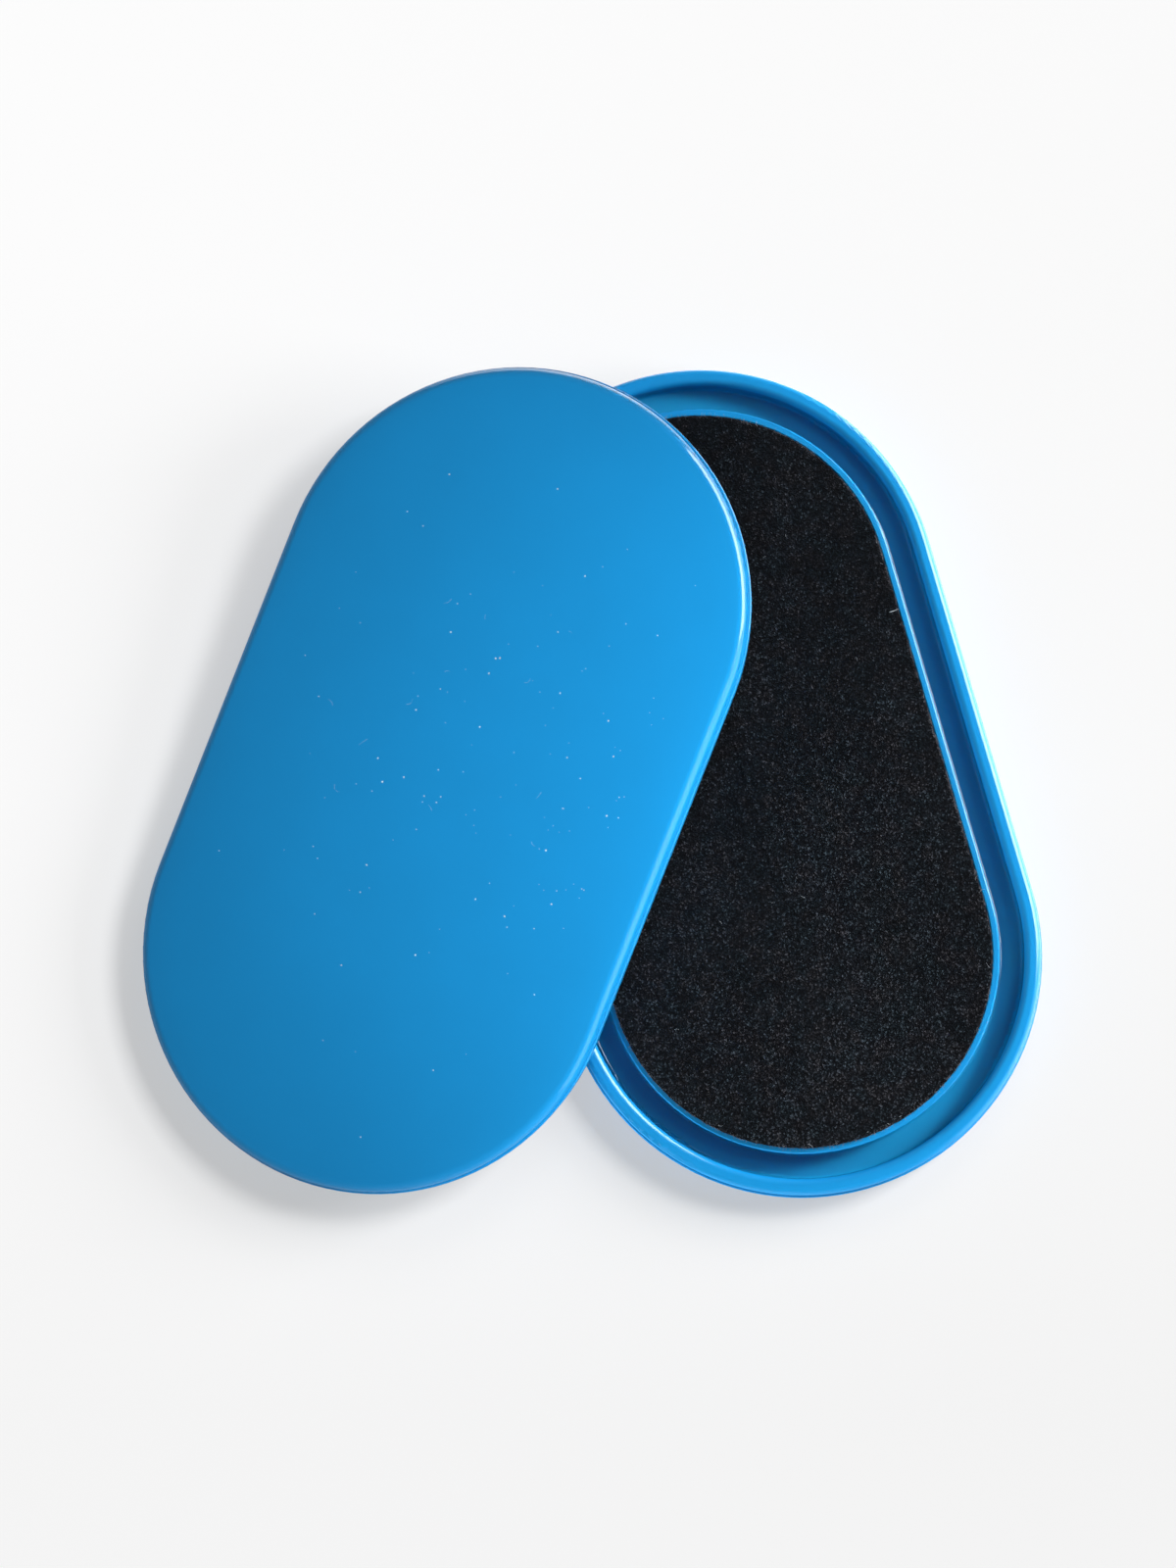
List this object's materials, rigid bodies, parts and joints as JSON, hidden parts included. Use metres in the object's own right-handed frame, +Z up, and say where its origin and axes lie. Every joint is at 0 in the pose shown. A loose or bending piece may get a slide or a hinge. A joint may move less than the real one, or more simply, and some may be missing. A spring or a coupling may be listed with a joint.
{
  "type": "magnetic glass cleaner",
  "caption": "Pair of handleless racetrack-shaped cleaning halves in blue plastic, one lying pad up, the other leaning on it shell up, with sealed magnets behind the pads.",
  "frame": {"origin": "centre of the flat shell face that the outer half lies on", "axes": "+Z up, out of the outer half's pad; +Y along the outer half; +X away from the inner half, which leans on the outer half's -X side"},
  "size_m": [0.1837, 0.1848, 0.0283],
  "materials": {
    "gloss_blue_shell": "smooth high gloss",
    "blue_tray": "semi-gloss, moulded",
    "black_felt": "short dense pile with loose fibres",
    "black_scrub_fleece": "short dense pile with loose fibres",
    "hook_backing": "moulded hook sheet",
    "black_rubber": "matt",
    "black_plastic": "satin, moulded",
    "foam": "closed-cell foam",
    "nickel_plated_magnet": "nickel plated, smooth",
    "zinc_plated_steel": "zinc plated",
    "screw_steel": "stainless"
  },
  "bodies": {
    "outer_half": {"outer_shell": "gloss_blue_shell", "outer_tray": "blue_tray", "outer_seal_ring": "black_rubber", "outer_magnet_carrier": "black_plastic", "outer_magnet_1": "nickel_plated_magnet", "outer_magnet_2": "nickel_plated_magnet", "outer_magnet_3": "nickel_plated_magnet", "outer_magnet_4": "nickel_plated_magnet", "outer_keeper_plate": "zinc_plated_steel", "outer_cushion_sheet": "foam", "outer_screws": "screw_steel", "outer_pad_backing": "hook_backing", "outer_felt_pad": "black_felt"},
    "inner_half": {"inner_shell": "gloss_blue_shell", "inner_tray": "blue_tray", "inner_seal_ring": "black_rubber", "inner_magnet_carrier": "black_plastic", "inner_magnet_1": "nickel_plated_magnet", "inner_magnet_2": "nickel_plated_magnet", "inner_magnet_3": "nickel_plated_magnet", "inner_magnet_4": "nickel_plated_magnet", "inner_keeper_plate": "zinc_plated_steel", "inner_cushion_sheet": "foam", "inner_screws": "screw_steel", "inner_pad_backing": "hook_backing", "inner_scrub_pad": "black_scrub_fleece"}
  },
  "joints": [
    {"name": "inner_half_lift", "type": "slide", "parent": "outer_half", "child": "inner_half", "axis": [0, 0, 1], "range_m": [0, 0.1]}
  ]
}
